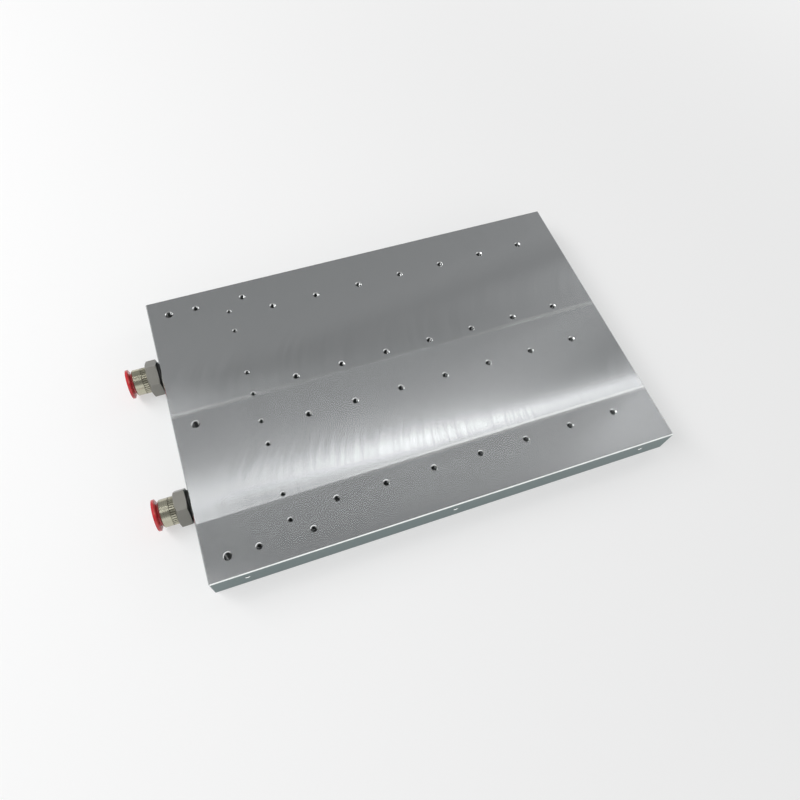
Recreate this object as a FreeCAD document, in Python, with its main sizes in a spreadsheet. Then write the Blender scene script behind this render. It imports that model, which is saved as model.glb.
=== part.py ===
"""Liquid cooling cold plate: a machined aluminium plate with a welded lid and two push-in tube fittings.

Row frame: +X along the plate, away from the fittings; +Y across it; +Z up, out of the device face.
The origin is the centre of the plate's underside. Every length is in millimetres.
"""
import FreeCAD, Part
import Sketcher
import os

Vector = FreeCAD.Vector
doc = FreeCAD.newDocument("cold_plate")

# --------------------------------------------------------------------------------------------------
# Driving dimensions: one row each, kept in the spreadsheet "Sizes".
# --------------------------------------------------------------------------------------------------
DIMENSIONS = [
    # plate
    ("plate_length", 300.0),
    ("plate_width", 200.0),
    ("plate_thickness", 20.0),
    ("edge_chamfer", 0.6),
    # device screws: a grid of M4 holes in the top face
    ("screw_drill", 3.3),
    ("screw_mouth", 4.3),
    ("screw_depth", 7.0),
    ("first_column", 82.75),
    ("column_pitch", 31.25),
    ("last_column_margin", 20.0),
    ("inner_row", 14.5),
    ("outer_row", 73.5),
    # the four M4 holes beside the ports
    ("edge_row_margin", 13.0),
    ("edge_screw_near", 32.0),
    ("edge_screw_far", 64.5),
    # column of M3 holes for the smaller device screws
    ("pin_drill", 2.5),
    ("pin_mouth", 3.3),
    ("pin_depth", 6.0),
    ("pin_column", 53.1),
    ("pin_row_one", 10.25),
    ("pin_row_two", 26.75),
    ("pin_row_three", 61.0),
    ("pin_row_four", 77.5),
    # through holes that hang the plate on its frame
    ("frame_hole", 4.5),
    ("frame_hole_mouth", 5.3),
    ("frame_hole_column", 13.8),
    # M3 holes in the front side
    ("side_drill", 2.5),
    ("side_mouth", 3.3),
    ("side_depth", 6.0),
    ("side_end_margin", 21.0),
    ("side_drop", 8.0),
    # coolant channel, milled from below
    ("channel_roof", 9.0),
    ("channel_width", 24.0),
    ("channel_start", 26.0),
    ("channel_end_wall", 14.0),
    ("crossover_width", 18.0),
    ("cutter_radius", 5.0),
    ("rib_width", 4.0),
    ("rib_end_flat", 0.4),
    ("rib_gap", 14.0),
    # lid that closes the channel
    ("lid_thickness", 4.0),
    ("lid_land", 6.0),
    ("lid_corner", 8.0),
    ("lid_clearance", 0.1),
    # ports
    ("port_offset", 47.0),
    ("port_depth", 12.0),
    ("port_mouth_chamfer", 0.6),
    ("thread_clearance", 0.05),
    ("feed_bore", 8.5),
    # fitting body
    ("thread_diameter", 13.1),
    ("thread_length", 9.5),
    ("thread_relief_depth", 0.9),
    ("thread_relief_length", 1.2),
    ("thread_end_chamfer", 0.8),
    ("flow_bore", 9.0),
    ("hex_across_flats", 21.0),
    ("hex_height", 7.8),
    ("inlet_turn", -3.0),
    ("outlet_turn", 24.0),
    ("hex_shoulder", 1.2),
    ("hex_outer_cone", 1.65),
    ("hex_inner_cone", 1.1),
    ("barrel_diameter", 17.2),
    ("barrel_wall", 0.9),
    ("barrel_length", 9.3),
    ("barrel_chamfer", 0.6),
    ("knurl_length", 3.0),
    ("knurl_depth", 0.3),
    ("knurl_groove_width", 0.7),
    ("groove_width", 0.5),
    ("groove_depth", 0.4),
    # tube socket inside the fitting
    ("tube_stop", 3.0),
    ("tube_guide", 4.0),
    ("tube_clearance", 0.1),
    ("stack_clearance", 0.1),
    # seals
    ("seal_thickness", 1.5),
    ("face_seal_clearance", 0.15),
    ("face_seal_inset", 0.3),
    ("face_seal_chamfer", 0.4),
    ("tube_seal_height", 1.6),
    ("tube_seal_gap", 0.05),
    ("tube_seal_chamfer", 0.45),
    # spacer between tube seal and grab ring
    ("spacer_thickness", 1.0),
    ("spacer_gap", 0.3),
    # stainless grab ring
    ("grab_sheet", 0.4),
    ("grab_rim_width", 0.75),
    ("grab_tooth_rise", 1.4),
    ("grab_tooth_gap", 0.08),
    ("grab_slot_width", 0.8),
    # retaining sleeve, pressed into the mouth of the barrel
    ("press_clearance", 0.05),
    ("sleeve_wall", 0.45),
    ("sleeve_lip", 0.4),
    ("sleeve_chamfer", 0.3),
    # release ring
    ("release_travel", 1.2),
    ("release_clearance", 0.1),
    ("release_wall", 0.5),
    ("release_tube_gap", 0.2),
    ("release_stop_gap", 0.3),
    ("release_bead_length", 1.2),
    ("release_bead_bevel", 0.2),
    ("release_overhang", 1.1),
    ("release_rim", 1.4),
    ("release_back_cone", 0.6),
    ("release_back_width", 1.2),
    ("release_spare_gap", 0.3),
    ("release_dish", 0.5),
    ("release_slot_width", 1.0),
    ("release_slot_length", 4.0),
]
KNURL_SLOTS = 36
GRAB_SLOTS = 10
RELEASE_SLOTS = 4
DRILL_POINT_ANGLE = 118
MOUTH_ANGLE = 90
FRONT, BACK = -1, 1
FITTINGS = {"inlet": FRONT, "outlet": BACK}

sheet = doc.addObject("Spreadsheet::Sheet", "Sizes")
for row, (alias, number) in enumerate(DIMENSIONS, start=1):
    sheet.set(f"A{row}", alias)
    sheet.set(f"B{row}", str(number))
    sheet.setAlias(f"B{row}", alias)
doc.recompute()


class Size:
    """A length together with the spreadsheet formula that gives it."""

    def __init__(self, number, formula):
        self.number = number
        self.formula = formula

    @staticmethod
    def of(value):
        return value if isinstance(value, Size) else Size(value, str(value))

    def __add__(self, other):
        other = Size.of(other)
        return Size(self.number + other.number, f"({self.formula} + {other.formula})")

    def __sub__(self, other):
        other = Size.of(other)
        return Size(self.number - other.number, f"({self.formula} - {other.formula})")

    def __mul__(self, factor):
        return Size(self.number * factor, f"({self.formula} * {factor})")

    def __truediv__(self, factor):
        return Size(self.number / factor, f"({self.formula} / {factor})")

    def __neg__(self):
        return Size(-self.number, f"(0 - {self.formula})")

    __radd__ = __add__


def size(alias):
    """The spreadsheet's value of that name."""
    return Size(float(sheet.get(alias)), f"Sizes.{alias}")


# --------------------------------------------------------------------------------------------------
# Helpers: bodies, sketches and features bound to the spreadsheet
# --------------------------------------------------------------------------------------------------
def bind(feature, **sizes):
    """Tie each named property of a feature to its size."""
    for name, value in sizes.items():
        feature.setExpression(name, Size.of(value).formula)


def origin_part(body, role):
    """One of the body's own origin planes or axes, such as XY_Plane or Z_Axis."""
    return next(part for part in body.Origin.OriginFeatures if part.Role == role)


def new_body(name):
    body = doc.addObject("PartDesign::Body", name)
    body.Label = name
    return body


def new_sketch(body, name, plane, offset=None):
    """A sketch on an origin plane of the body; offset moves it, in the plane's own x, y and z."""
    sketch = body.newObject("Sketcher::SketchObject", name)
    sketch.AttachmentSupport = [(origin_part(body, plane), "")]
    sketch.MapMode = "FlatFace"
    for axis, distance in zip("xyz", offset or ()):
        sketch.setExpression(f"AttachmentOffset.Base.{axis}", Size.of(distance).formula)
    return sketch


def pin_point(sketch, line, end, corner):
    """Hold one point of a sketch at a corner given as two sizes."""
    for kind, distance in zip(("DistanceX", "DistanceY"), corner):
        held = sketch.addConstraint(
            Sketcher.Constraint(kind, -1, 1, line, end, Size.of(distance).number))
        sketch.setExpression(f"Constraints[{held}]", Size.of(distance).formula)


def draw_outline(sketch, corners):
    """A closed outline of straight lines through corners given as pairs of sizes."""
    points = [Vector(Size.of(x).number, Size.of(y).number, 0) for x, y in corners]
    first = sketch.GeometryCount
    for start, end in zip(points, points[1:] + points[:1]):
        sketch.addGeometry(Part.LineSegment(start, end), False)
    for index, corner in enumerate(corners):
        following = (index + 1) % len(corners)
        sketch.addConstraint(
            Sketcher.Constraint("Coincident", first + index, 2, first + following, 1))
        pin_point(sketch, first + index, 1, corner)


def draw_rectangle(sketch, low, high):
    draw_outline(sketch, [low, (high[0], low[1]), high, (low[0], high[1])])


def draw_circle(sketch, centre, diameter):
    """A circle with its centre and its diameter tied to sizes."""
    middle = Vector(Size.of(centre[0]).number, Size.of(centre[1]).number, 0)
    circle = sketch.addGeometry(Part.Circle(middle, Vector(0, 0, 1), diameter.number / 2), False)
    held = sketch.addConstraint(Sketcher.Constraint("Diameter", circle, diameter.number))
    sketch.setExpression(f"Constraints[{held}]", diameter.formula)
    pin_point(sketch, circle, 3, centre)


def add_feature(body, kind, name, profile, **sizes):
    """A PartDesign feature on a sketch, with its sizes tied to the spreadsheet."""
    feature = body.newObject(f"PartDesign::{kind}", name)
    feature.Profile = profile
    bind(feature, **sizes)
    return feature


def finish_feature(body, feature, removes=False):
    """Recompute, make the feature the body's tip, and check that it did what it should."""
    before = 0 if body.Shape.isNull() else body.Shape.Volume
    body.Tip = feature
    doc.recompute()
    after = body.Shape.Volume
    changed = after < before if removes else after > before
    if not changed or not body.Shape.isValid():
        raise RuntimeError(f"{body.Label}: {feature.Name} did not change the solid as it should")
    return feature


def pad(body, name, sketch, length):
    return finish_feature(body, add_feature(body, "Pad", name, sketch, Length=length))


def pocket(body, name, sketch, length, upward=False):
    """Cut a sketch into the body, against its normal, or along it if upward."""
    feature = add_feature(body, "Pocket", name, sketch, Length=length)
    feature.Reversed = upward
    return finish_feature(body, feature, removes=True)


def revolve(body, name, sketch, axis="V_Axis", removes=False):
    """Turn a profile about one of the sketch's own axes, to add or to cut."""
    feature = add_feature(body, "Groove" if removes else "Revolution", name, sketch)
    feature.ReferenceAxis = (sketch, [axis])
    feature.Angle = 360
    return finish_feature(body, feature, removes)


def drill(body, name, sketch, diameter, mouth, depth=None, along_normal=False):
    """Countersunk holes at a sketch's circles: blind to a depth, or right through."""
    doc.recompute()
    hole = add_feature(body, "Hole", name, sketch)
    hole.Reversed = along_normal
    hole.ThreadType = "None"
    hole.DepthType = "Dimension" if depth else "ThroughAll"
    hole.DrillPoint = "Angled" if depth else "Flat"
    hole.DrillPointAngle = DRILL_POINT_ANGLE
    hole.HoleCutType = "Countersink"
    hole.HoleCutCountersinkAngle = MOUTH_ANGLE
    bind(hole, Diameter=diameter, HoleCutDiameter=mouth)
    if depth:
        bind(hole, Depth=depth)
    return finish_feature(body, hole, removes=True)


def dress_edges(body, kind, name, edges, **sizes):
    """A fillet or chamfer on the body's edges that the test picks."""
    base = body.Tip
    names = [f"Edge{i}" for i, edge in enumerate(base.Shape.Edges, start=1) if edges(edge)]
    feature = body.newObject(f"PartDesign::{kind}", name)
    feature.Base = (base, names)
    bind(feature, **sizes)
    body.Tip = feature
    doc.recompute()
    return feature


def repeat_around(body, name, original, count):
    """Repeat a cut evenly around the body's Z axis."""
    pattern = body.newObject("PartDesign::PolarPattern", name)
    pattern.Originals = [original]
    pattern.Axis = (origin_part(body, "Z_Axis"), [""])
    pattern.Angle = 360
    pattern.Occurrences = count
    return finish_feature(body, pattern, removes=True)


# --------------------------------------------------------------------------------------------------
# Sizes that several pieces share
# --------------------------------------------------------------------------------------------------
port_end = -size("plate_length") / 2
far_end = size("plate_length") / 2
plate_top = size("plate_thickness")
half_width = size("plate_width") / 2
edge_row = half_width - size("edge_row_margin")
port_height = plate_top / 2
channel_floor = size("lid_thickness")
channel_height = plate_top - channel_floor - size("channel_roof")
leg_inside = size("port_offset") - size("channel_width") / 2
leg_outside = size("port_offset") + size("channel_width") / 2
leg_start = port_end + size("channel_start")
leg_end = far_end - size("channel_end_wall")
crossover_start = leg_end - size("crossover_width")
rib_start = leg_start + size("rib_gap")
rib_end = crossover_start

# Radii of the fitting, from the barrel inwards to the tube.
barrel = size("barrel_diameter") / 2
cavity = barrel - size("barrel_wall")
piece_radius = cavity - size("press_clearance")
sleeve_pocket_radius = piece_radius - size("sleeve_wall")
sleeve_bore_radius = sleeve_pocket_radius - size("sleeve_lip")
release_outer = sleeve_bore_radius - size("release_clearance")
release_inner = release_outer - size("release_wall")
tube = release_inner - size("release_tube_gap")
tube_socket = tube + size("tube_clearance")
release_bead_radius = sleeve_pocket_radius - size("release_clearance")
flange = barrel + size("release_overhang")
hex_face = barrel + size("hex_shoulder")
thread = size("thread_diameter") / 2

# Heights of the fitting, from the plate's end face outwards.
hex_base = size("seal_thickness")
hex_top = hex_base + size("hex_height")
barrel_top = hex_top + size("barrel_length")
seal_seat = size("tube_stop") + size("tube_guide")
seal_base = seal_seat + size("stack_clearance")
spacer_base = seal_base + size("tube_seal_height") + size("stack_clearance")
spacer_top = spacer_base + size("spacer_thickness")
grab_tooth_base = spacer_top + size("stack_clearance")
grab_rim_base = grab_tooth_base + size("grab_tooth_rise")
grab_rim_top = grab_rim_base + size("grab_sheet")
sleeve_base = grab_rim_top + size("stack_clearance")
release_nose = grab_rim_top + size("release_travel") + size("release_stop_gap")
release_bead_top = release_nose + size("release_bead_length")
sleeve_shoulder = release_bead_top + size("release_stop_gap")
flange_back = barrel_top + size("release_travel") + size("release_spare_gap")
flange_rim_base = flange_back + size("release_back_cone")
flange_front = flange_rim_base + size("release_rim")


# --------------------------------------------------------------------------------------------------
# The plate and its lid
# --------------------------------------------------------------------------------------------------
def make_base_plate():
    """The thick plate: ports in the left end, tapped holes above, the coolant channel below."""
    body = new_body("base_plate")
    block = new_sketch(body, "plate_outline", "XY_Plane")
    draw_rectangle(block, (port_end, -half_width), (far_end, half_width))
    pad(body, "plate_block", block, plate_top)
    dress_edges(body, "Chamfer", "broken_edges", lambda edge: True, Size=size("edge_chamfer"))

    cut_channel(body)
    cut_ports(body)

    grid = new_sketch(body, "screw_grid", "XY_Plane", (0, 0, plate_top))
    first = port_end + size("first_column")
    room = far_end - size("last_column_margin") - first
    for column in range(int(room.number / size("column_pitch").number) + 1):
        for row in (size("inner_row"), size("outer_row")):
            draw_hole_pair(grid, first + size("column_pitch") * column, row, size("screw_drill"))
    for column in (size("edge_screw_near"), size("edge_screw_far")):
        draw_hole_pair(grid, port_end + column, edge_row, size("screw_drill"))
    drill(body, "screw_holes", grid, size("screw_drill"), size("screw_mouth"), size("screw_depth"))

    pins = new_sketch(body, "pin_grid", "XY_Plane", (0, 0, plate_top))
    for row in ("pin_row_one", "pin_row_two", "pin_row_three", "pin_row_four"):
        draw_hole_pair(pins, port_end + size("pin_column"), size(row), size("pin_drill"))
    drill(body, "pin_holes", pins, size("pin_drill"), size("pin_mouth"), size("pin_depth"))

    frame = new_sketch(body, "frame_row", "XY_Plane", (0, 0, plate_top))
    frame_column = port_end + size("frame_hole_column")
    draw_hole_pair(frame, frame_column, edge_row, size("frame_hole"))
    draw_circle(frame, (frame_column, 0), size("frame_hole"))
    drill(body, "frame_holes", frame, size("frame_hole"), size("frame_hole_mouth"))

    side = new_sketch(body, "side_row", "XZ_Plane", (0, 0, half_width))
    for x in (port_end + size("side_end_margin"), 0, far_end - size("side_end_margin")):
        draw_circle(side, (x, plate_top - size("side_drop")), size("side_drill"))
    drill(body, "side_holes", side, size("side_drill"), size("side_mouth"), size("side_depth"))
    return body


def draw_hole_pair(sketch, x, row, diameter):
    """Two circles, the same distance in front of and behind the plate's long centre line."""
    for side in (FRONT, BACK):
        draw_circle(sketch, (x, row * side), diameter)


def cut_channel(body):
    """Mill the lid's seat and the channel: two legs joined at the far end, each split by a rib."""
    seat = new_sketch(body, "lid_seat_outline", "XY_Plane")
    draw_lid_outline(seat, size("lid_clearance"))
    pocket(body, "lid_seat", seat, channel_floor, upward=True)
    round_upright_corners(body, "lid_seat_corners", 0, channel_floor,
                          size("lid_corner") + size("lid_clearance"))

    roof = channel_floor + channel_height
    path = new_sketch(body, "channel_outline", "XY_Plane", (0, 0, channel_floor))
    draw_outline(path, [
        (leg_start, -leg_outside), (leg_end, -leg_outside), (leg_end, leg_outside),
        (leg_start, leg_outside), (leg_start, leg_inside), (crossover_start, leg_inside),
        (crossover_start, -leg_inside), (leg_start, -leg_inside),
    ])
    for side in (FRONT, BACK):
        middle = size("port_offset") * side
        draw_rectangle(path, (rib_start, middle - size("rib_width") / 2),
                       (rib_end, middle + size("rib_width") / 2))
    pocket(body, "channel", path, channel_height, upward=True)
    upright = upright_between(channel_floor, roof)
    dress_edges(body, "Fillet", "channel_corners",
                lambda edge: upright(edge) and not on_rib(edge), Radius=size("cutter_radius"))
    dress_edges(body, "Fillet", "rib_ends", lambda edge: upright(edge) and on_rib(edge),
                Radius=(size("rib_width") - size("rib_end_flat")) / 2)


def on_rib(edge):
    """Whether an upright edge is a corner of one of the two ribs."""
    off_middle = abs(abs(edge.CenterOfMass.y) - size("port_offset").number)
    return off_middle < size("rib_width").number


def upright_between(low, high):
    """A test for straight upright edges that run from one height to the other."""
    heights = sorted((Size.of(low).number, Size.of(high).number))

    def test(edge):
        ends = sorted(vertex.Z for vertex in edge.Vertexes)
        straight = isinstance(edge.Curve, Part.Line)
        reaches = len(ends) == 2 and all(abs(a - b) < 1e-6 for a, b in zip(ends, heights))
        return straight and reaches

    return test


def round_upright_corners(body, name, low, high, radius):
    return dress_edges(body, "Fillet", name, upright_between(low, high), Radius=radius)


def draw_lid_outline(sketch, clearance):
    """The lid's rectangle, or its seat's, around the channel."""
    land = size("lid_land") + clearance
    draw_rectangle(sketch, (leg_start - land, -leg_outside - land),
                   (leg_end + land, leg_outside + land))


def cut_ports(body):
    """A threaded port in the left end for each fitting, with a feed bore into its leg."""
    mouths = new_sketch(body, "port_mouths", "YZ_Plane", (0, 0, port_end))
    feeds = new_sketch(body, "feed_bores_outline", "YZ_Plane", (0, 0, port_end))
    port_diameter = size("thread_diameter") + size("thread_clearance") * 2
    for side in (FRONT, BACK):
        centre = (size("port_offset") * side, port_height)
        draw_circle(mouths, centre, port_diameter)
        draw_circle(feeds, centre, size("feed_bore"))
    pocket(body, "feed_bores", feeds, size("channel_start") + size("feed_bore") / 2, upward=True)
    drill(body, "ports", mouths, port_diameter, port_diameter + size("port_mouth_chamfer") * 2,
          size("port_depth"), along_normal=True)


def make_lid():
    """The lid, flush with the underside, whose edge is welded into its seat."""
    body = new_body("channel_lid")
    outline = new_sketch(body, "lid_outline", "XY_Plane")
    draw_lid_outline(outline, 0)
    pad(body, "lid_block", outline, channel_floor)
    round_upright_corners(body, "lid_corners", 0, channel_floor, size("lid_corner"))
    return body


# --------------------------------------------------------------------------------------------------
# The push-in fittings. Each piece is drawn about its own Z axis, which points out of the port.
# Height 0 is the plate's end face.
# --------------------------------------------------------------------------------------------------
def seat_on_port(body, side, corner_turn):
    """Turn a piece's Z axis out of the left end and put it on the axis of its port.

    Each fitting stops at its own angle when it is tightened: corner_turn is that of its hexagon,
    in degrees from +Y towards +Z.
    """
    turn = FreeCAD.Rotation(Vector(0, 0, 1), corner_turn.number)
    outward = FreeCAD.Rotation(Vector(0, 1, 0), Vector(0, 0, 1), Vector(-1, 0, 0), "ZXY")
    body.Placement = FreeCAD.Placement(Vector(0, 0, 0), outward * turn.inverted())
    body.setExpression("Placement.Base.x", port_end.formula)
    body.setExpression("Placement.Base.y", (size("port_offset") * side).formula)
    body.setExpression("Placement.Base.z", port_height.formula)
    return body


def turned_piece(name, corners):
    """A body turned from one profile, whose corners are radius and height."""
    body = new_body(name)
    profile = new_sketch(body, f"{name}_profile", "XZ_Plane")
    draw_outline(profile, corners)
    revolve(body, f"{name}_turned", profile)
    return body


def make_fitting_body(name):
    """Nickel-plated brass: threaded shank, hexagon, knurled barrel and the tube socket inside."""
    relief = thread - size("thread_relief_depth")
    relief_end = hex_base - size("thread_relief_length")
    flow = size("flow_bore") / 2
    tail = -size("thread_length")
    body = turned_piece(name, [
        (flow, tail),
        (thread - size("thread_end_chamfer"), tail),
        (thread, tail + size("thread_end_chamfer")),
        (thread, relief_end - size("thread_relief_depth")),
        (relief, relief_end),
        (relief, hex_base),
        (barrel, hex_base),
        (barrel, barrel_top - size("barrel_chamfer")),
        (barrel - size("barrel_chamfer"), barrel_top),
        (cavity, barrel_top),
        (cavity, seal_seat),
        (tube_socket, seal_seat),
        (tube_socket, size("tube_stop")),
        (flow, size("tube_stop")),
    ])
    add_hexagon(body)
    knurl_barrel(body)
    return body


def add_hexagon(body):
    """The spanner hexagon around the barrel, with both ends turned to a cone."""
    half_flat = size("hex_across_flats") / 2
    corner = size("hex_across_flats") / 3 ** 0.5
    hexagon = new_sketch(body, "hexagon_outline", "XY_Plane", (0, 0, hex_base))
    draw_outline(hexagon, [
        (corner, 0), (corner / 2, half_flat), (-corner / 2, half_flat),
        (-corner, 0), (-corner / 2, -half_flat), (corner / 2, -half_flat),
    ])
    draw_circle(hexagon, (0, 0), cavity + barrel)
    pad(body, "hexagon", hexagon, size("hex_height"))

    clear = corner + size("hex_shoulder")
    for name, end, inner in (("outer_cone", hex_top, hex_top - size("hex_outer_cone")),
                             ("inner_cone", hex_base, hex_base + size("hex_inner_cone"))):
        cone = new_sketch(body, f"{name}_profile", "XZ_Plane")
        draw_outline(cone, [(hex_face, end), (clear, end), (clear, inner)])
        revolve(body, name, cone, removes=True)


def knurl_barrel(body):
    """A ring of fine grooves beside the hexagon, ended by a turned groove."""
    ring = new_sketch(body, "ring_groove_profile", "XZ_Plane")
    ring_base = hex_top + size("knurl_length")
    draw_rectangle(ring, (barrel - size("groove_depth"), ring_base),
                   (barrel + size("groove_depth"), ring_base + size("groove_width")))
    revolve(body, "ring_groove", ring, removes=True)

    half_groove = size("knurl_groove_width") / 2
    notch = new_sketch(body, "knurl_notch", "XY_Plane", (0, 0, hex_top))
    draw_outline(notch, [
        (barrel - size("knurl_depth"), 0),
        (barrel + size("knurl_depth"), -half_groove * 2),
        (barrel + size("knurl_depth"), half_groove * 2),
    ])
    first = pocket(body, "knurl_groove", notch, size("knurl_length"), upward=True)
    repeat_around(body, "knurl", first, KNURL_SLOTS)


def bevelled_ring(name, inner, outer, low, high, bevel):
    """A turned ring of nearly square section with its four corners bevelled."""
    return turned_piece(name, [
        (inner + bevel, low),
        (outer - bevel, low),
        (outer, low + bevel),
        (outer, high - bevel),
        (outer - bevel, high),
        (inner + bevel, high),
        (inner, high - bevel),
        (inner, low + bevel),
    ])


def make_face_seal(name):
    """The rubber ring squeezed between the hexagon and the plate."""
    inner = thread + size("face_seal_clearance")
    outer = hex_face - size("face_seal_inset")
    return bevelled_ring(name, inner, outer, 0, hex_base, size("face_seal_chamfer"))


def make_tube_seal(name):
    """The rubber ring that seals on the tube."""
    inner = tube + size("tube_seal_gap")
    top = seal_base + size("tube_seal_height")
    return bevelled_ring(name, inner, piece_radius, seal_base, top, size("tube_seal_chamfer"))


def make_spacer(name):
    """The plastic ring that backs the tube seal and carries the grab ring's rim."""
    inner = tube + size("spacer_gap")
    rim_seat = grab_rim_base - size("stack_clearance")
    return turned_piece(name, [
        (inner, spacer_base),
        (piece_radius, spacer_base),
        (piece_radius, rim_seat),
        (piece_radius - size("grab_rim_width") + size("stack_clearance"), rim_seat),
        (inner, spacer_top),
    ])


def make_grab_ring(name):
    """The spring-steel ring whose teeth slope inwards and bite the tube."""
    rim = piece_radius - size("grab_rim_width")
    tooth = tube + size("grab_tooth_gap")
    sheet_metal = size("grab_sheet")
    body = turned_piece(name, [
        (piece_radius, grab_rim_base),
        (piece_radius, grab_rim_top),
        (rim, grab_rim_top),
        (tooth, grab_tooth_base + sheet_metal),
        (tooth, grab_tooth_base),
        (rim, grab_rim_base),
    ])
    half_slot = size("grab_slot_width") / 2
    slot = new_sketch(body, "tooth_slot", "XY_Plane", (0, 0, grab_tooth_base))
    draw_rectangle(slot, (tooth / 2, -half_slot), (rim, half_slot))
    first = pocket(body, "first_slot", slot, grab_rim_top - grab_tooth_base, upward=True)
    repeat_around(body, "teeth", first, GRAB_SLOTS)
    return body


def make_sleeve(name):
    """The sleeve pressed into the barrel, whose lip keeps the release ring in."""
    chamfer = size("sleeve_chamfer")
    return turned_piece(name, [
        (sleeve_pocket_radius, sleeve_base),
        (piece_radius, sleeve_base),
        (piece_radius, barrel_top),
        (sleeve_bore_radius + chamfer, barrel_top),
        (sleeve_bore_radius, barrel_top - chamfer),
        (sleeve_bore_radius, sleeve_shoulder),
        (sleeve_pocket_radius, sleeve_shoulder),
    ])


def make_release_ring(name):
    """The red ring that is pushed in to let the tube go: slotted nose, bead and thumb flange."""
    bevel = size("release_bead_bevel")
    dish = size("release_dish")
    body = turned_piece(name, [
        (release_inner, release_nose),
        (release_bead_radius - bevel, release_nose),
        (release_bead_radius, release_nose + bevel),
        (release_bead_radius, release_bead_top),
        (release_outer, release_bead_top),
        (release_outer, flange_back),
        (flange - size("release_back_width"), flange_back),
        (flange, flange_rim_base),
        (flange, flange_front),
        (flange - dish, flange_front),
        (sleeve_bore_radius + dish, flange_front - dish),
        (release_inner, flange_front - dish * 2),
    ])
    half_slot = size("release_slot_width") / 2
    slot = new_sketch(body, "nose_slot", "XY_Plane", (0, 0, release_nose))
    draw_rectangle(slot, (tube / 2, -half_slot), (sleeve_pocket_radius, half_slot))
    first = pocket(body, "first_slot", slot, size("release_slot_length"), upward=True)
    repeat_around(body, "nose_slots", first, RELEASE_SLOTS)
    return body


FITTING_PIECES = {
    "fitting_body": make_fitting_body,
    "face_seal": make_face_seal,
    "tube_seal": make_tube_seal,
    "spacer_ring": make_spacer,
    "grab_ring": make_grab_ring,
    "retaining_sleeve": make_sleeve,
    "release_ring": make_release_ring,
}


# --------------------------------------------------------------------------------------------------
# Build, check and write
# --------------------------------------------------------------------------------------------------
def check_document():
    for item in doc.Objects:
        if {"Invalid", "Error"} & set(item.State):
            raise RuntimeError(f"{item.Label}: {item.State}")


def write_piece(body):
    shape = body.Shape
    if shape.isNull() or not shape.isValid() or not shape.Solids:
        raise RuntimeError(f"{body.Label} is not a sound solid")
    shape.exportStep(f"parts/{body.Label}.step")
    print(f"{body.Label}: {len(shape.Solids)} solid, {shape.Volume:.1f} mm3")


pieces = [make_base_plate(), make_lid()]
for fitting, side in FITTINGS.items():
    for piece, make in FITTING_PIECES.items():
        corner_turn = size(f"{fitting}_turn")
        pieces.append(seat_on_port(make(f"{fitting}_{piece}"), side, corner_turn))
doc.recompute()
check_document()
os.makedirs("parts", exist_ok=True)
for piece in pieces:
    write_piece(piece)
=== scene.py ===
# %% [markdown]
# # Liquid cooling cold plate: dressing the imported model
# The machined plate, its lid and the push-in fittings come from the frame with their true shape.
# This file gives each of them the finish of the real piece, and sets up the floor, light and
# camera. Everything here is in metres, in the part's own frame: the origin is the centre of the
# plate's underside, +X runs away from the fittings and +Z out of the device face.

# %% Load the frame
import math

import bpy
from mathutils import Matrix, Vector


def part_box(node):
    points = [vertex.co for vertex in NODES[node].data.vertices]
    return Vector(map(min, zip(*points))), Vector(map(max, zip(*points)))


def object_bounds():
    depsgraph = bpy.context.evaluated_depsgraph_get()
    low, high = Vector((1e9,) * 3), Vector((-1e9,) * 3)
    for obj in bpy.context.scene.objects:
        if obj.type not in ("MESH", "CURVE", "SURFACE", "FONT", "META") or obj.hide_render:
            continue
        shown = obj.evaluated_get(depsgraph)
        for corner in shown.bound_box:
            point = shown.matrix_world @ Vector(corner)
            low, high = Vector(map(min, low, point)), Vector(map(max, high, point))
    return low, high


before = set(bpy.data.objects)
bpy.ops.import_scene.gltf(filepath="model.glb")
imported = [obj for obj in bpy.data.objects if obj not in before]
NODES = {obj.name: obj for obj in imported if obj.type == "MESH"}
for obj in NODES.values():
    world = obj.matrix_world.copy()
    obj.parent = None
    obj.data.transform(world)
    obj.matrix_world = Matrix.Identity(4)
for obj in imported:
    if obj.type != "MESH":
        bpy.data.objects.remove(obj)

CAD_BOX = [list(corner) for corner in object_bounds()]
MM = 0.001
print("pieces from the frame:", len(NODES), "box in metres:", CAD_BOX)

# %% [markdown]
# The finishes need to know where the faces of the plate and of its lid lie, and where the two
# fittings stand. Those places could be typed in, but they are read from the pieces' own boxes, so
# the finishes stay in place if the plate changes size.

# %% Measure the pieces
plate_low, plate_high = (Vector(corner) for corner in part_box("base_plate"))
lid_low, lid_high = (Vector(corner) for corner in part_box("channel_lid"))
seal_low, seal_high = (Vector(corner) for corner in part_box("outlet_face_seal"))
fitting_row = (seal_low.y + seal_high.y) / 2
fitting_height = (seal_low.z + seal_high.z) / 2
print("plate from", plate_low, "to", plate_high)
print("fittings at y = +/-", round(fitting_row, 4), "and z =", round(fitting_height, 4))

# %% [markdown]
# The camera stands in front of the plate's left half and looks steeply down over it, turned a
# little towards the far right corner and rolled by a few degrees, as a hand-held camera is.
# A short lens makes the far side clearly smaller than the near side.
# A Track To constraint could aim it, but would keep it upright. So its way of looking is three
# plain rotations, one after the other: the turn, the tilt and the roll.

# %% Camera
CAMERA_PLACE = Vector((-0.10196, -0.19388, 0.37953))
CAMERA_HEADING = math.radians(23.38)
CAMERA_PITCH = math.radians(62.63)
CAMERA_ROLL = math.radians(4.93)
CAMERA_LENS = 28.51
CAMERA_SHIFT = (0.03556, 0.01025)
SENSOR_WIDTH = 36


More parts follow.
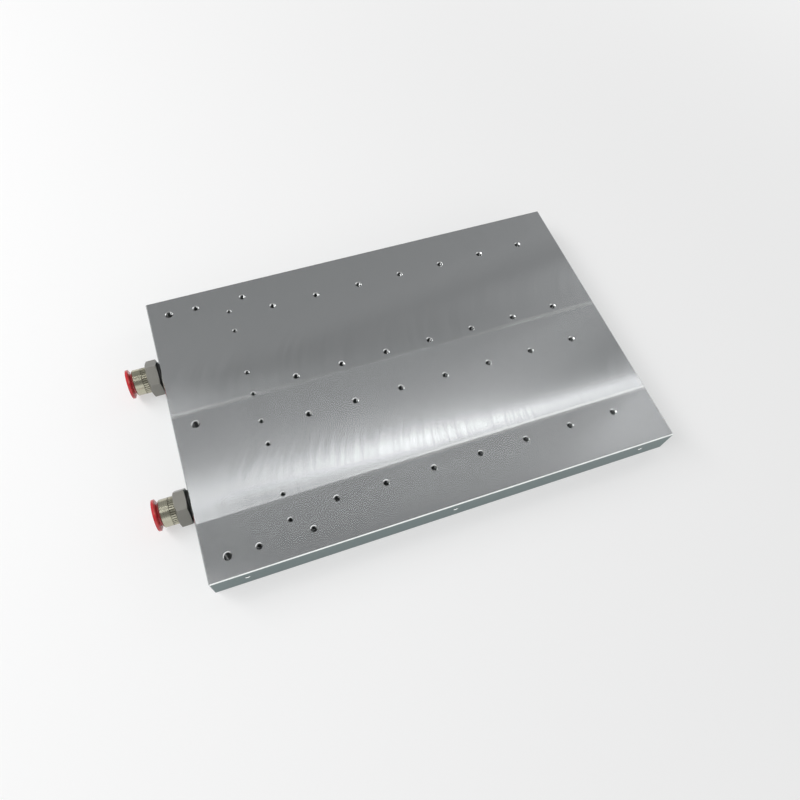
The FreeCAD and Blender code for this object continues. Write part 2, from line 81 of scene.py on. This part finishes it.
def add_camera():
    data = bpy.data.cameras.new("camera")
    data.lens = CAMERA_LENS
    data.sensor_width = SENSOR_WIDTH
    data.shift_x, data.shift_y = CAMERA_SHIFT
    data.clip_start = 0.01
    camera = bpy.data.objects.new("camera", data)
    bpy.context.scene.collection.objects.link(camera)
    camera.location = CAMERA_PLACE
    turn = Matrix.Rotation(-CAMERA_HEADING, 3, "Z")
    tilt = Matrix.Rotation(math.pi / 2 - CAMERA_PITCH, 3, "X")
    roll = Matrix.Rotation(CAMERA_ROLL, 3, "Z")
    camera.rotation_euler = (turn @ tilt @ roll).to_euler()
    bpy.context.scene.camera = camera
    return camera


print("camera at", add_camera().location)
bpy.context.scene.view_settings.view_transform = "Standard"

# %% [markdown]
# Finishes are shader trees. They could be laid out by hand in the shader editor, but as code each
# recipe can be read and changed line by line. Written node by node they would be long, so
# `add_node` makes a node, sets its settings and sets or links its inputs in one call.

# %% One shader node
Socket = bpy.types.NodeSocket


def add_node(tree, kind, settings=None, inputs=None):
    """A shader node with its settings, and its inputs either set or linked."""
    node = tree.nodes.new(kind)
    for name, value in (settings or {}).items():
        setattr(node, name, value)
    for name, value in (inputs or {}).items():
        if isinstance(value, Socket):
            tree.links.new(value, node.inputs[name])
        else:
            node.inputs[name].default_value = value
    return node


# %% [markdown]
# Masks are worked out with numbers and vectors. Each helper here does one piece of arithmetic and
# returns the socket that holds the answer, so that one can be put inside another like a sum on
# paper. Map Range is used as a smooth step, because a hard step would leave jagged edges.

# %% Arithmetic in a shader


def maths(tree, operation, first, second=0.0, third=0.0):
    inputs = {0: first, 1: second, 2: third}
    return add_node(tree, "ShaderNodeMath", {"operation": operation}, inputs).outputs[0]


def ramp(tree, value, low, high, out_low=0.0, out_high=1.0):
    """A smooth step of a value from low to high."""
    inputs = {0: value, 1: low, 2: high, 3: out_low, 4: out_high}
    settings = {"interpolation_type": "SMOOTHSTEP"}
    return add_node(tree, "ShaderNodeMapRange", settings, inputs).outputs[0]


def mix_values(tree, share, first, second):
    inputs = {0: share, 2: first, 3: second}
    return add_node(tree, "ShaderNodeMix", {"data_type": "FLOAT"}, inputs).outputs[0]


def separate(tree, vector):
    return add_node(tree, "ShaderNodeSeparateXYZ", None, {0: vector}).outputs


def combine(tree, x, y, z):
    return add_node(tree, "ShaderNodeCombineXYZ", None, {0: x, 1: y, 2: z}).outputs[0]


def length_of(tree, vector):
    settings = {"operation": "LENGTH"}
    return add_node(tree, "ShaderNodeVectorMath", settings, {0: vector}).outputs["Value"]


# %% [markdown]
# Colour and pattern have helpers of their own. Noise could come from images, but the noise node
# needs no file, has no seams and is as fine as is asked for. A bump gives the slope of marks that
# are far too shallow to be cut into a mesh.

# %% Colour, noise and bump


def colour(red, green, blue):
    return (red, green, blue, 1.0)


def mix_colours(tree, share, first, second):
    inputs = {0: share, 6: first, 7: second}
    return add_node(tree, "ShaderNodeMix", {"data_type": "RGBA"}, inputs).outputs[2]


def noise(tree, place, scale, detail=2.0, roughness=0.5):
    inputs = {"Vector": place, "Scale": scale, "Detail": detail, "Roughness": roughness}
    return add_node(tree, "ShaderNodeTexNoise", None, inputs).outputs["Fac"]


def bump(tree, height, distance):
    inputs = {"Height": height, "Distance": distance}
    return add_node(tree, "ShaderNodeBump", None, inputs).outputs[0]


# %% [markdown]
# A material here is a Principled shader whose own sockets hold the numbers that are the same all
# over the surface, such as anisotropy. Only colour, roughness, normal and tangent are ever linked.
# Patterns could follow a UV map, but these are hard, machined pieces without one, so they are laid
# out in space, in the piece's own metres.
# `surface_of` gives the two things every pattern starts from: the place on the piece and the way
# its surface faces.

# %% Materials and pieces


def new_material(name, **sockets):
    """A material with its Principled shader's own sockets set."""
    material = bpy.data.materials.new(name)
    material.use_nodes = True
    tree = material.node_tree
    shader = tree.nodes["Principled BSDF"]
    for socket, value in sockets.items():
        shader.inputs[socket.replace("_", " ")].default_value = value
    return material, tree, shader


def surface_of(tree):
    """The place on the piece, in its own metres, and its outward normal."""
    node = add_node(tree, "ShaderNodeTexCoord")
    return node.outputs["Object"], node.outputs["Normal"]


def link_all(tree, shader, **sockets):
    for name, value in sockets.items():
        tree.links.new(value, shader.inputs[name.replace("_", " ")])


def dress(names, material):
    for name in names:
        piece = NODES[name]
        piece.data.materials.clear()
        piece.data.materials.append(material)
    print(material.name, "on", ", ".join(names))


def fitting_pieces(piece):
    return [f"inlet_{piece}", f"outlet_{piece}"]


# %% [markdown]
# Some wear is the same on every piece, so it is made once, as a node group that several materials
# use. The first is handling haze: the soft grey blotches that fingers, wiping and storage leave on
# bare metal and on plastic. It is two sizes of noise, mixed and cut to soft islands: one size
# alone would look like cloud.
# A group gives out only a mask: each material decides what the mask does to its own shader.

# %% Handling haze
WIDE_BLOTCHES = 14
FINE_BLOTCHES = 90
FINE_SHARE = 0.35


def new_group(name, inputs, outputs):
    """An empty node group with float or vector sockets, and its two end nodes."""
    tree = bpy.data.node_groups.new(name, "ShaderNodeTree")
    for direction, sockets in (("INPUT", inputs), ("OUTPUT", outputs)):
        for socket, kind in sockets.items():
            tree.interface.new_socket(name=socket, in_out=direction, socket_type=f"NodeSocket{kind}")
    start = add_node(tree, "NodeGroupInput")
    end = add_node(tree, "NodeGroupOutput")
    return tree, start.outputs, end.inputs


def use_group(tree, group, output, **inputs):
    """Put a node group into a material and return one of its outputs."""
    node = add_node(tree, "ShaderNodeGroup", {"node_tree": group}, inputs)
    return node.outputs[output]


def make_haze_group():
    tree, given, result = new_group("handling_haze", {"Place": "Vector"}, {"Mask": "Float"})
    wide = noise(tree, given["Place"], WIDE_BLOTCHES, 3, 0.6)
    fine = noise(tree, given["Place"], FINE_BLOTCHES, 4, 0.65)
    both = maths(tree, "MULTIPLY_ADD", fine, FINE_SHARE, wide)
    tree.links.new(ramp(tree, both, 0.55, 0.85), result["Mask"])
    return tree


HAZE = make_haze_group()
print("shared group:", HAZE.name)

# %% [markdown]
# The second shared group finds the broken edges. Each outer edge of the plate has a small milled
# bevel and each tapped hole a countersink, and both face between the main directions. Where no
# part of the normal is close to one, the surface is such a bevel: fresh, bright metal that also
# takes the first knocks. The noise breaks the mask up where the edge has been rubbed. The round
# wall of a hole counts as a bevel too where it faces between the main directions.
# Pointiness could find edges too, but only on a dense, even mesh, and the normal is exact here.

# %% Bevelled edges
RUBBED_SCALE = 160


def make_bevel_group():
    sockets = {"Place": "Vector", "Facing": "Vector"}
    tree, given, result = new_group("bevelled_edges", sockets, {"Mask": "Float"})
    largest = 0.0
    for part in separate(tree, given["Facing"]):
        largest = maths(tree, "MAXIMUM", largest, maths(tree, "ABSOLUTE", part))
    slanted = ramp(tree, largest, 0.93, 0.80)
    rubbed = ramp(tree, noise(tree, given["Place"], RUBBED_SCALE, 3), 0.3, 0.6, 0.75, 1.0)
    tree.links.new(maths(tree, "MULTIPLY", slanted, rubbed), result["Mask"])
    return tree


BEVELS = make_bevel_group()
print("shared group:", BEVELS.name)

# %% [markdown]
# The lid is stir-welded into its seat: a spinning pin is led round the seam and leaves a band of
# fine, evenly spaced crescents, which is then skimmed flush. The band straddles the seam, so both
# the plate's underside and the lid carry half of it, and both use this one group.
# The crescents are much too shallow to be worth cutting, so they are a bump. The distance to the
# seam is that to a rectangle with rounded corners, worked out from the lid's box, and the crescents
# are a sine along the seam, bent back towards the band's edges.

# %% Weld band
WELD_HALF_WIDTH = 4.5 * MM
WELD_STEP = 0.9 * MM
WELD_BOW = 1.6 * MM
LID_CORNER = 8 * MM


def past_straight(tree, value, low, high):
    """How far a point lies past the straight stretch of a rounded rectangle's side."""
    from_middle = maths(tree, "ABSOLUTE", maths(tree, "SUBTRACT", value, (low + high) / 2))
    return maths(tree, "SUBTRACT", from_middle, (high - low) / 2 - LID_CORNER)


def distance_to_seam(tree, past_x, past_y):
    beyond_x = maths(tree, "MAXIMUM", past_x, 0.0)
    beyond_y = maths(tree, "MAXIMUM", past_y, 0.0)
    outside = length_of(tree, combine(tree, beyond_x, beyond_y, 0.0))
    inside = maths(tree, "MINIMUM", maths(tree, "MAXIMUM", past_x, past_y), 0.0)
    return maths(tree, "SUBTRACT", maths(tree, "ADD", outside, inside), LID_CORNER)


def make_weld_group():
    outputs = {"Mask": "Float", "Height": "Float"}
    tree, given, result = new_group("weld_band", {"Place": "Vector"}, outputs)
    x, y, z = separate(tree, given["Place"])
    past_x = past_straight(tree, x, lid_low.x, lid_high.x)
    past_y = past_straight(tree, y, lid_low.y, lid_high.y)
    seam = distance_to_seam(tree, past_x, past_y)
    share = maths(tree, "DIVIDE", maths(tree, "ABSOLUTE", seam), WELD_HALF_WIDTH)
    on_bottom = ramp(tree, z, 0.4 * MM, 0.2 * MM)
    mask = maths(tree, "MULTIPLY", ramp(tree, share, 1.0, 0.86), on_bottom)
    along = mix_values(tree, maths(tree, "GREATER_THAN", past_x, past_y), x, y)
    bowed = maths(tree, "MULTIPLY_ADD", maths(tree, "MULTIPLY", share, share), WELD_BOW, along)
    wave = maths(tree, "SINE", maths(tree, "MULTIPLY", bowed, 2 * math.pi / WELD_STEP))
    tree.links.new(mask, result["Mask"])
    tree.links.new(maths(tree, "MULTIPLY", wave, mask), result["Height"])
    return tree


WELD = make_weld_group()
print("shared group:", WELD.name)

# %% [markdown]
# The plate was faced with a wide cutter in passes along its length. Each pass leaves curved
# grooves whose direction turns across the pass, and the pass cut later covers the edge of the one
# before it. Light is scattered across such grooves and hardly along them, so a long lamp shows as
# a bright band that starts sharply at the edge of a pass and fades across it. Such bands could be
# painted on, but would then stay put when the eye moves. So only the tangent of the scatter is
# worked out, from the place in the pass, and the shader's anisotropy does the rest: the bands move
# with the eye and the lights, as they do on the real plate.
# The pass along the far edge was cut last, so nothing covers it and it shows its full width.
# Only the thin bright line where one pass covers the next is painted: a painted highlight.

# %% Facing passes
PASS_EDGE = plate_low.y + 36.5 * MM
PASS_WIDTH = 72.5 * MM
GROOVE_TURN = math.radians(82)
GROOVE_SCALE = 420
GROOVE_DRIFT = 4 * MM
# The width of the painted highlight line at the edge of a pass.
HIGHLIGHT_LINE_WIDTH = 2.4 * MM
LAST_PASS = 1


def count_passes(tree, y):
    """Passes between a point and the first sharp edge."""
    return maths(tree, "DIVIDE", maths(tree, "SUBTRACT", y, PASS_EDGE), PASS_WIDTH)


def place_in_pass(tree, passes):
    """How far across its pass a point lies, from 0 at the sharp edge to 1. The last pass goes on."""
    number = maths(tree, "MINIMUM", maths(tree, "FLOOR", passes), LAST_PASS)
    return maths(tree, "MINIMUM", maths(tree, "SUBTRACT", passes, number), 1.0)


def painted_highlight_line(tree, passes, place):
    """A thin bright line painted where a pass covers the one before it: a painted highlight."""
    edge = maths(tree, "MINIMUM", maths(tree, "ROUND", passes), LAST_PASS)
    distance = maths(tree, "ABSOLUTE", maths(tree, "SUBTRACT", passes, edge))
    line = ramp(tree, distance, HIGHLIGHT_LINE_WIDTH / PASS_WIDTH, 0.3 * HIGHLIGHT_LINE_WIDTH / PASS_WIDTH)
    return maths(tree, "MULTIPLY", line, ramp(tree, noise(tree, place, 9, 2), 0.35, 0.6, 0.08, 0.4))


def scatter_direction(tree, angle, facing):
    """Across the grooves on the broad faces, and upright on the sides, which are milled lengthwise."""
    across = maths(tree, "MULTIPLY", maths(tree, "SINE", angle), -1)
    broad = combine(tree, maths(tree, "COSINE", angle), across, 0.0)
    upright = maths(tree, "ABSOLUTE", separate(tree, facing)[2])
    settings = {"data_type": "VECTOR"}
    return add_node(tree, "ShaderNodeMix", settings, {
        0: ramp(tree, upright, 0.3, 0.9), 4: (0, 0, 1), 5: broad}).outputs[1]


def groove_marks(tree, x, in_pass, angle):
    """Streaks that follow the cutter's curved grooves: each groove is a line of equal value."""
    lean = maths(tree, "LOGARITHM", maths(tree, "ADD", maths(tree, "COSINE", angle), 0.06), math.e)
    groove = maths(tree, "MULTIPLY_ADD", lean, PASS_WIDTH / GROOVE_TURN, x)
    drift = maths(tree, "MULTIPLY", in_pass, GROOVE_DRIFT)
    return noise(tree, combine(tree, groove, drift, 0.0), GROOVE_SCALE, 3, 0.6)


print("facing passes", PASS_WIDTH, "m wide, with a sharp edge at y =", round(PASS_EDGE, 4))


# %% [markdown]
# Inside the tapped holes the thread shows as fine rings. They could be modelled as a helix, at a
# cost of thousands of faces that nobody sees, so a sine up the hole stands for them. It is used
# only where the wall is upright, and away from the plate's outer sides, which are upright too.
# There the wall is also painted nearly black: painted shade deep in the hole.

# %% Threads in the holes
THREAD_PITCH = 0.7 * MM
EDGE_STRIP = 1 * MM


def away_from_sides(tree, place):
    """1 over the plate's middle and 0 along its outer sides, where the broken edges are."""
    x, y = separate(tree, place)[:2]
    inner = 1.0
    for value, side in ((x, plate_high.x), (y, plate_high.y)):
        within = ramp(tree, maths(tree, "ABSOLUTE", value), side - EDGE_STRIP, side - 2 * EDGE_STRIP)
        inner = maths(tree, "MULTIPLY", inner, within)
    return inner


def thread_rings(tree, place, facing, inner):
    """Where a threaded wall is, and the height of its rings."""
    wall = ramp(tree, maths(tree, "ABSOLUTE", separate(tree, facing)[2]), 0.2, 0.1)
    mask = maths(tree, "MULTIPLY", wall, inner)
    turns = maths(tree, "MULTIPLY", separate(tree, place)[2], 2 * math.pi / THREAD_PITCH)
    return mask, maths(tree, "MULTIPLY", maths(tree, "SINE", turns), mask)


print("thread rings", THREAD_PITCH, "m apart")

# %% [markdown]
# The aluminium itself is a pale, slightly blue metal. The grooves and the haze change how rough it
# is and tilt it by a hair, which is enough to see in a reflection. The milled sides are duller, and
# their dark grey-green tone is a painted dark reflection rather than the metal's own colour. The
# long outer edges are freshly cut and bright, those at the ends are broken by hand with a file and
# stay duller, and a film of tapping oil takes a little off the countersinks. A cutter leaves all
# these bevels smoother than the faces.
# One tone for the whole plate would be simpler, but it is these small steps from place to place
# that show how each face was made.

# %% Tones of the plate
ALUMINIUM = colour(0.626, 0.640, 0.652)
LID_ALUMINIUM = colour(0.63, 0.64, 0.64)
# Fresh metal on the long bevels, and also the painted highlight line at each pass edge.
BRIGHT_BEVEL_AND_HIGHLIGHT = colour(0.93, 0.95, 0.94)
# The sides' tone is a painted dark reflection, much darker than the metal.
SIDE_PAINTED_DARK_REFLECTION = colour(0.21, 0.26, 0.262)
ALUMINIUM_END = colour(0.42, 0.44, 0.44)
COUNTERSINK = colour(0.80, 0.81, 0.81)
WELD_TONE = colour(0.46, 0.46, 0.45)
HAZE_TONE = colour(0.5, 0.5, 0.48)
# Painted shade inside the tapped holes.
HOLE_PAINTED_SHADE = colour(0.10, 0.10, 0.10)


def edge_tone(tree, facing, inner):
    """The tone of a bevel: along the long edges, at the ends, or in a countersink."""
    at_end = ramp(tree, maths(tree, "ABSOLUTE", separate(tree, facing)[0]), 0.5, 0.65)
    outer = mix_colours(tree, at_end, BRIGHT_BEVEL_AND_HIGHLIGHT, ALUMINIUM_END)
    return mix_colours(tree, inner, outer, COUNTERSINK)


def plate_tone(tree, base, masks, bevel_tone):
    # The sides take the dark grey-green tone: a painted dark reflection.
    tone = mix_colours(tree, masks["broad"], SIDE_PAINTED_DARK_REFLECTION, base)
    tone = mix_colours(tree, maths(tree, "MULTIPLY", masks["haze"], 0.05), tone, HAZE_TONE)
    tone = mix_colours(tree, maths(tree, "MULTIPLY", masks["weld"], 0.45), tone, WELD_TONE)
    # A painted highlight line along the edge where one pass covers the next.
    line = maths(tree, "MULTIPLY", masks["line"], masks["broad"])
    tone = mix_colours(tree, line, tone, BRIGHT_BEVEL_AND_HIGHLIGHT)
    # Painted shade: the threaded walls deep in the holes are darkened.
    tone = mix_colours(tree, maths(tree, "MULTIPLY", masks["threaded"], 0.8), tone, HOLE_PAINTED_SHADE)
    return mix_colours(tree, masks["bevels"], tone, bevel_tone)


# %% [markdown]
# Roughness and bump finish the aluminium. The grooves' roughness is low and hardly changes, because
# on a mirror-like face every hundredth of it shows. The heights of grooves, thread rings and weld
# crescents are added up first, so that one bump carries all three.
# The lid is cut from the same metal and faced with the plate, so it gets the same recipe.

# %% Plate aluminium
GROOVE_ROUGHNESS = (0.220, 0.255)
SIDE_ROUGHNESS = 0.36
WELD_ROUGHNESS = 0.3
BEVEL_ROUGHNESS = 0.1
RING_DEPTH = 0.2 * MM
RIPPLE_DEPTH = 0.02 * MM
GROOVE_DEPTH = 0.003 * MM


def plate_roughness(tree, grooves, masks):
    rough = ramp(tree, grooves, 0.3, 0.7, *GROOVE_ROUGHNESS)
    rough = maths(tree, "MULTIPLY_ADD", masks["haze"], 0.012, rough)
    rough = mix_values(tree, masks["broad"], SIDE_ROUGHNESS, rough)
    rough = mix_values(tree, masks["weld"], rough, WELD_ROUGHNESS)
    return mix_values(tree, masks["bevels"], rough, BEVEL_ROUGHNESS)


def make_plate_aluminium(name, base):
    material, tree, shader = new_material(name, Metallic=1.0, Anisotropic=0.95)
    place, facing = surface_of(tree)
    x, y = separate(tree, place)[:2]
    passes = count_passes(tree, y)
    in_pass = place_in_pass(tree, passes)
    angle = maths(tree, "MULTIPLY", in_pass, GROOVE_TURN)
    grooves = groove_marks(tree, x, in_pass, angle)
    inner = away_from_sides(tree, place)
    threaded, rings = thread_rings(tree, place, facing, inner)
    masks = {
        "haze": use_group(tree, HAZE, "Mask", Place=place),
        "bevels": use_group(tree, BEVELS, "Mask", Place=place, Facing=facing),
        "weld": use_group(tree, WELD, "Mask", Place=place),
        "broad": ramp(tree, maths(tree, "ABSOLUTE", separate(tree, facing)[2]), 0.3, 0.9),
        "line": painted_highlight_line(tree, passes, place),
        "threaded": threaded,
    }
    ripples = use_group(tree, WELD, "Height", Place=place)
    height = maths(tree, "MULTIPLY", ripples, RIPPLE_DEPTH)
    height = maths(tree, "MULTIPLY_ADD", rings, RING_DEPTH, height)
    height = maths(tree, "MULTIPLY_ADD", grooves, GROOVE_DEPTH, height)
    link_all(tree, shader, Base_Color=plate_tone(tree, base, masks, edge_tone(tree, facing, inner)),
             Roughness=plate_roughness(tree, grooves, masks), Normal=bump(tree, height, 1.0),
             Tangent=scatter_direction(tree, angle, facing))
    return material


dress(["base_plate"], make_plate_aluminium("plate_aluminium", ALUMINIUM))
dress(["channel_lid"], make_plate_aluminium("lid_aluminium", LID_ALUMINIUM))

# %% [markdown]
# The fittings are turned brass with bright nickel plate. The lathe leaves fine rings round the
# axis, so light is spread along the axis: long, bright streaks down the barrel. Such rings are too
# fine to be modelled, and anisotropy stands for them here too. The hexagon was rolled as bar and
# is duller than the turned barrel. The hollows of the knurl next to it are darkened.
# The two fittings share one material: a place is measured from the nearer fitting's axis.

# %% Nickel-plated fittings
NICKEL = colour(0.50, 0.48, 0.36)
NICKEL_HEXAGON = colour(0.24, 0.235, 0.215)
BARREL_RADIUS = 8.6 * MM
KNURL_START = plate_low.x - 9.3 * MM
KNURL_END = KNURL_START - 3 * MM
LATHE_SCALE = 9000
NICKEL_HAZE = colour(0.5, 0.5, 0.47)
KNURL_HOLLOW_TONE = colour(0.05, 0.045, 0.035)


def around_fitting(tree, place):
    """Distance along the fitting's axis, and away from it."""
    x, y, z = separate(tree, place)
    side = maths(tree, "SUBTRACT", maths(tree, "ABSOLUTE", y), fitting_row)
    rise = maths(tree, "SUBTRACT", z, fitting_height)
    return x, length_of(tree, combine(tree, side, rise, 0.0))


def make_fitting_plating():
    material, tree, shader = new_material("fitting_plating", Metallic=1.0, Anisotropic=0.6)
    place = surface_of(tree)[0]
    x, radius = around_fitting(tree, place)
    haze = use_group(tree, HAZE, "Mask", Place=place)
    on_hex = ramp(tree, radius, BARREL_RADIUS + 0.1 * MM, BARREL_RADIUS + 0.4 * MM)
    in_knurl = maths(tree, "MULTIPLY", ramp(tree, x, KNURL_END - 0.5 * MM, KNURL_END),
                     ramp(tree, x, KNURL_START, KNURL_START - 0.1 * MM))
    cut = ramp(tree, radius, BARREL_RADIUS - 0.03 * MM, BARREL_RADIUS - 0.2 * MM)
    knurl_hollows = maths(tree, "MULTIPLY", in_knurl, cut)
    lathe = noise(tree, combine(tree, x, maths(tree, "MULTIPLY", radius, 0.2), 0.0), LATHE_SCALE, 2)

    tone = mix_colours(tree, maths(tree, "MULTIPLY", haze, 0.25), NICKEL, NICKEL_HAZE)
    tone = mix_colours(tree, on_hex, tone, NICKEL_HEXAGON)
    # The cut-in hollows of the knurl are darkened.
    tone = mix_colours(tree, maths(tree, "MULTIPLY", knurl_hollows, 0.85), tone, KNURL_HOLLOW_TONE)
    rough = ramp(tree, lathe, 0.3, 0.7, 0.17, 0.22)
    rough = mix_values(tree, on_hex, rough, 0.33)
    rough = maths(tree, "MULTIPLY_ADD", haze, 0.08, rough)
    link_all(tree, shader, Base_Color=tone, Roughness=rough, Tangent=combine(tree, 1.0, 0.0, 0.0))
    return material


plating = make_fitting_plating()
dress(fitting_pieces("fitting_body") + fitting_pieces("retaining_sleeve"), plating)

# %% [markdown]
# The release rings are glossy red acetal mouldings. A low roughness alone would gloss them, but
# would also harden the colour. So a coat stands for the polished skin of the moulding, and a little
# light goes into the plastic under it. Thumbs leave the face of the flange slightly duller than
# the rest.

# %% Release rings
RED = colour(0.60, 0.02, 0.03)
RUBBED_RED = colour(0.7, 0.08, 0.07)


def make_release_plastic():
    material, tree, shader = new_material(
        "release_plastic", Coat_Weight=0.4, Coat_Roughness=0.08, Subsurface_Weight=0.05,
        Subsurface_Scale=0.5 * MM)
    place, facing = surface_of(tree)
    haze = use_group(tree, HAZE, "Mask", Place=place)
    worn = ramp(tree, separate(tree, facing)[0], -0.5, -0.9)
    rough = maths(tree, "MULTIPLY_ADD", haze, 0.1, maths(tree, "MULTIPLY_ADD", worn, 0.1, 0.25))
    tone = mix_colours(tree, maths(tree, "MULTIPLY", haze, 0.12), RED, RUBBED_RED)
    link_all(tree, shader, Base_Color=tone, Roughness=rough)
    return material


dress(fitting_pieces("release_ring"), make_release_plastic())

# %% [markdown]
# The small pieces of a fitting are plain: matt black rubber rings with a mould bloom, a ring of
# natural acetal, and a grab ring of bright spring steel. They hardly show, so one recipe with a
# grain of its own size for each does for all three, and none has a material built from scratch.

# %% Rubber, acetal and spring steel


def make_plain_material(name, tone, roughness, grain, depth, **sockets):
    """One tone with a fine grain in its roughness and in its surface."""
    material, tree, shader = new_material(name, **sockets)
    place = surface_of(tree)[0]
    grains = noise(tree, place, grain, 3)
    haze = use_group(tree, HAZE, "Mask", Place=place)
    grainy = ramp(tree, grains, 0.2, 0.8, roughness - 0.06, roughness + 0.06)
    rough = maths(tree, "MULTIPLY_ADD", haze, 0.08, grainy)
    paler = tuple(min(1.0, part * 1.3) for part in tone[:3]) + (1.0,)
    link_all(tree, shader, Base_Color=mix_colours(tree, haze, tone, paler), Roughness=rough,
             Normal=bump(tree, grains, depth))
    return material


rubber = make_plain_material("seal_rubber", colour(0.02, 0.02, 0.02), 0.6, 3000, 0.02 * MM)
acetal = make_plain_material("spacer_plastic", colour(0.75, 0.74, 0.70), 0.4, 2000, 0.01 * MM,
                             Subsurface_Weight=0.1, Subsurface_Scale=0.5 * MM)
steel = make_plain_material("grab_steel", colour(0.60, 0.60, 0.60), 0.25, 4000, 0.005 * MM,
                            Metallic=1.0)
dress(fitting_pieces("face_seal") + fitting_pieces("tube_seal"), rubber)
dress(fitting_pieces("spacer_ring"), acetal)
dress(fitting_pieces("grab_ring"), steel)

# %% [markdown]
# The plate lies on a plain white floor. Where the eye or a reflection meets the floor, part of its
# white glows by itself, and all of it does further out, so the floor stays white to its edges and
# still holds a soft shadow near the plate. A stronger lamp would whiten it too, but would burn out
# the metal first.

# %% Floor
FLOOR_SIZE = 12
FLOOR_WHITE = colour(0.9, 0.9, 0.9)
FLOOR_GLOW = 0.5
SHADOW_REACH = 0.25
WHITE_FROM = 1.2


def add_floor():
    bpy.ops.mesh.primitive_plane_add(size=FLOOR_SIZE, location=(0, 0, CAD_BOX[0][2]))
    floor = bpy.context.object
    floor.name = "floor"
    material, tree, shader = new_material("floor_white", Roughness=0.9)
    shader.inputs["Base Color"].default_value = FLOOR_WHITE
    path = add_node(tree, "ShaderNodeLightPath").outputs
    seen = maths(tree, "MAXIMUM", path["Is Camera Ray"], path["Is Glossy Ray"])
    seen = maths(tree, "MAXIMUM", seen, path["Is Transmission Ray"])
    distance = length_of(tree, surface_of(tree)[0])
    share = ramp(tree, distance, SHADOW_REACH, WHITE_FROM, FLOOR_GLOW, 1.0)
    glow = add_node(tree, "ShaderNodeEmission", None, {"Color": colour(1, 1, 1), "Strength": 1.0})
    blend = add_node(tree, "ShaderNodeMixShader", None, {
        0: maths(tree, "MULTIPLY", seen, share), 1: shader.outputs[0], 2: glow.outputs[0]})
    tree.links.new(blend.outputs[0], tree.nodes["Material Output"].inputs["Surface"])
    floor.data.materials.append(material)
    return floor


print("stage:", add_floor().name)

# %% [markdown]
# Over the floor is a dome that is white at the horizon and darker overhead. A polished plate seen
# from above mirrors the sky over it, so the dark part of the dome gives the plate its grey. The
# horizon is bright in front and to the right, where it lights the near edge and the far rim of
# every hole, and dim at the back left, which gives the bevels their other shade.
# A picture of a room could do all this, but two ramps of brightness can be read and tuned.

# %% Dome
HORIZON = 1.0
DIM_HORIZON = 0.4
BRIGHT_SIDE = (0.6, -0.8, 0.0)
HORIZON_TOP = 0.35
SKY_FROM = 0.62
LOW_SKY = 0.58
OVERHEAD = 0.19


def add_dome():
    world = bpy.data.worlds.new("studio")
    bpy.context.scene.world = world
    world.use_nodes = True
    tree = world.node_tree
    way = add_node(tree, "ShaderNodeTexCoord").outputs["Generated"]
    height = separate(tree, way)[2]
    sky = maths(tree, "MULTIPLY_ADD", height, OVERHEAD - LOW_SKY, LOW_SKY)
    toward = add_node(tree, "ShaderNodeVectorMath", {"operation": "DOT_PRODUCT"},
                      {0: way, 1: BRIGHT_SIDE}).outputs["Value"]
    horizon = ramp(tree, toward, -0.5, 0.4, DIM_HORIZON, HORIZON)
    strength = mix_values(tree, ramp(tree, height, SKY_FROM, HORIZON_TOP), sky, horizon)
    tree.links.new(strength, tree.nodes["Background"].inputs["Strength"])
    tree.nodes["Background"].inputs["Color"].default_value = colour(0.99, 1.0, 1.0)
    return world


print("dome:", add_dome().name)

# %% [markdown]
# Four level lamps hang a metre up, where the plate's top mirrors them: a long thin strip over the
# far side that draws the bright band along the pass, a broad panel at the back left that is the
# main light, a dimmer one far off at the back right, and a small one to the right, level with the
# plate's middle, that lights the near right corner.
# Each lamp is given by its radiance, and its power follows from its size. So a lamp can be made
# longer or wider without a change to how bright its reflection is.

# %% Lamps


def add_lamp(name, place, width, depth, radiance, turn):
    """A rectangular area lamp that faces down."""
    data = bpy.data.lights.new(name, "AREA")
    data.shape = "RECTANGLE"
    data.size, data.size_y = width, depth
    data.energy = math.pi * width * depth * radiance
    lamp = bpy.data.objects.new(name, data)
    bpy.context.scene.collection.objects.link(lamp)
    lamp.location = place
    lamp.rotation_euler = (0, 0, math.radians(turn))
    lamp.visible_camera = False
    print(name, "lamp of", round(data.energy, 2), "W")
    return lamp


add_lamp("strip", (0.22, 0.34, 1.0), 1.69, 0.03, 4.3, -5.9)
add_lamp("left_panel", (-1.15, 0.63, 1.0), 1.98, 0.71, 5.2, -66.8)
add_lamp("right_panel", (2.11, 0.535, 1.0), 0.6, 1.31, 2.2, 78.6)
add_lamp("near_panel", (0.89, 0.0, 1.0), 0.3, 0.16, 0.9, -63.0)
